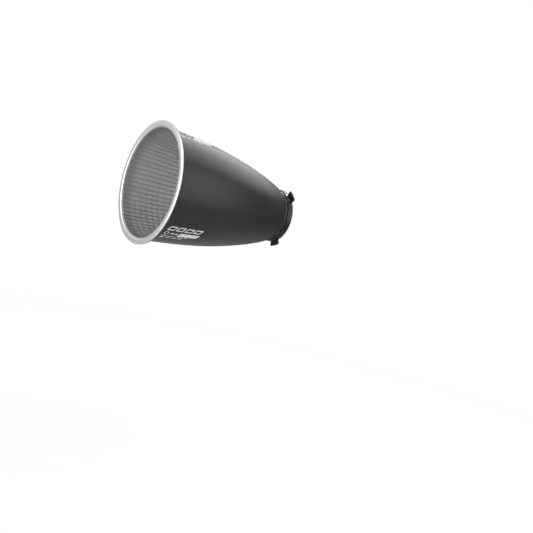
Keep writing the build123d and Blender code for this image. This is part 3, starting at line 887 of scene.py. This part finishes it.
def make_marks():
    """The printed labels, one for each third of the shell."""
    vertices, faces = [], []
    for angle in LABEL_ANGLES:
        for shape in label_shapes():
            base = len(vertices)
            mark_vertices, mark_faces = mark(shape, angle)
            vertices += mark_vertices
            faces += [tuple(base + i for i in face) for face in mark_faces]
    marks = new_piece("printed_marks", vertices, faces, MARK_SHARP_ANGLE)
    work = bmesh.new()
    work.from_mesh(marks.data)
    bmesh.ops.remove_doubles(work, verts=work.verts, dist=MARK_MERGE)
    bmesh.ops.recalc_face_normals(work, faces=work.faces)
    work.to_mesh(marks.data)
    work.free()
    return marks


# ---------------------------------------------------------------- stage

CAMERA_PLACE = (1.1991, -0.9054, -0.0671)
CAMERA_HEADING = 52.77
CAMERA_PITCH = -1.42
CAMERA_ROLL = 12.90
CAMERA_LENS = 50.0
CAMERA_SENSOR = 36.0

# Floor, in metres: how far it lies below the bell, the share of glow close by and the distances over which
# it rises to all glow, and the places along Y over which painted shade makes the floor dimmer in reflections
FLOOR_DROP = 0.30
FLOOR_SIZE = 30.0
FLOOR_GLOW = 0.6
FLOOR_FADE = (0.5, 1.6)
SHADE_BEHIND = (0.25, 0.75)

# Light from the surroundings: along each axis of a direction it runs from the third number to the fourth
# as the direction runs from the first to the second, and the three are multiplied
SKY_RAMPS = {
    "Z": (-0.3, 0.7, 0.50, 1.30),
    "Y": (0.0, 0.9, 1.0, 0.25),
    "X": (-0.8, 0.8, 1.0, 0.8),
}

# Softboxes: place, width and height in metres, and power in watts
SOFTBOXES = {
    "softbox_overhead": ((-0.25, 0.75, 1.05), 1.5, 0.8, 12),
    "softbox_side": ((1.15, 0.60, 0.30), 0.7, 1.4, 9),
    "softbox_key": ((-0.65, -1.90, 0.02), 1.0, 1.4, 19.5),
}


def add_camera():
    """The camera looks into the mouth from its right, and is rolled a little."""
    camera = bpy.data.objects.new("camera", bpy.data.cameras.new("camera"))
    camera.data.lens = CAMERA_LENS
    camera.data.sensor_width = CAMERA_SENSOR
    heading = Matrix.Rotation(math.radians(CAMERA_HEADING), 4, "Z")
    pitch = Matrix.Rotation(math.radians(90 + CAMERA_PITCH), 4, "X")
    roll = Matrix.Rotation(math.radians(CAMERA_ROLL), 4, "Z")
    camera.matrix_world = Matrix.Translation(CAMERA_PLACE) @ heading @ pitch @ roll
    bpy.context.scene.collection.objects.link(camera)
    bpy.context.scene.camera = camera


def add_softbox(name, location, target, width, height, power):
    """A rectangular light that faces a point."""
    light = bpy.data.lights.new(name, "AREA")
    light.shape = "RECTANGLE"
    light.size = width
    light.size_y = height
    light.energy = power
    lamp = bpy.data.objects.new(name, light)
    lamp.location = location
    lamp.rotation_euler = (Vector(target) - Vector(location)).to_track_quat("-Z", "Y").to_euler()
    bpy.context.scene.collection.objects.link(lamp)


def add_surroundings():
    """Studio surroundings: white to look at, and a soft light that is dimmer below and behind."""
    world = bpy.data.worlds.new("studio")
    world.use_nodes = True
    nodes, links = world.node_tree.nodes, world.node_tree.links
    seen = nodes["Background"]
    seen.inputs["Color"].default_value = (1, 1, 1, 1)
    light = nodes.new("ShaderNodeBackground")
    direction = nodes.new("ShaderNodeTexCoord")
    split = nodes.new("ShaderNodeSeparateXYZ")
    both = nodes.new("ShaderNodeMixShader")
    path = nodes.new("ShaderNodeLightPath")
    links.new(direction.outputs["Generated"], split.inputs[0])
    ramps = []
    for axis, numbers in SKY_RAMPS.items():
        ramp = nodes.new("ShaderNodeMapRange")
        for socket, number in zip(list(ramp.inputs)[1:], numbers):
            socket.default_value = number
        links.new(split.outputs[axis], ramp.inputs[0])
        ramps.append(ramp.outputs[0])
    strength = ramps[0]
    for ramp in ramps[1:]:
        product = nodes.new("ShaderNodeMath")
        product.operation = "MULTIPLY"
        links.new(strength, product.inputs[0])
        links.new(ramp, product.inputs[1])
        strength = product.outputs[0]
    links.new(strength, light.inputs["Strength"])
    links.new(path.outputs["Is Camera Ray"], both.inputs[0])
    links.new(light.outputs[0], both.inputs[1])
    links.new(seen.outputs[0], both.inputs[2])
    links.new(both.outputs[0], nodes["World Output"].inputs["Surface"])
    bpy.context.scene.world = world


def add_studio():
    """Surroundings, softboxes overhead, at the side and in front, and a pale floor."""
    add_surroundings()
    low, high = cad_box
    middle = [(a + b) / 2 for a, b in zip(low, high)]
    for name, (location, width, height, power) in SOFTBOXES.items():
        add_softbox(name, location, middle, width, height, power)
    half = FLOOR_SIZE / 2
    level = low[2] - FLOOR_DROP
    corners = [(-half, -half, level), (half, -half, level), (half, half, level), (-half, half, level)]
    floor = new_piece("floor", corners, [(0, 1, 2, 3)])
    floor.data.materials.append(paper())
    bpy.context.scene.view_settings.view_transform = "Standard"


# ---------------------------------------------------------------- assembly

def dress(piece, material, node=None):
    """Gives a new piece its material and its body, and hides the node it stands for."""
    piece.data.materials.clear()
    piece.data.materials.append(material)
    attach(piece, "root")
    if node:
        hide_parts(node)


shell_black = shell_coating()
dress(make_shell(), shell_black, "outer_shell")
dress(make_liner(), liner_anodising(), "inner_reflector")
dress(make_hoop(), hoop_anodising(), "front_rim")
dress(make_marks(), printing_ink())

gasket = rubber()
aluminium = machined_metal()
oxide = oxide_steel("oxide_screw", 0.5)
lug_oxide = oxide_steel("oxide_lug", 0.9)
cad_finishes = {
    "bayonet_collar": black_anodising_and_shade(),
    "neck_keys": key_coating_and_shade(),
    "lock_ring": aluminium,
    "throat_ring": aluminium,
    "bayonet_lug_1": lug_oxide,
    "bayonet_lug_2": lug_oxide,
    "bayonet_lug_3": lug_oxide,
    "lug_rivets": plated_steel("plain_rivet", (0.58, 0.58, 0.60), (0.42, 0.42, 0.44), 0.8),
    "throat_screws": plated_steel("plain_screw", (0.60, 0.60, 0.61), (0.50, 0.50, 0.51), 0.8),
    "key_screws": oxide,
    "rim_screws": oxide,
    "neck_gasket": gasket,
    "rim_gasket": gasket,
}
for node, material in cad_finishes.items():
    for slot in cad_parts[node].material_slots:
        slot.material = material

add_studio()
add_camera()
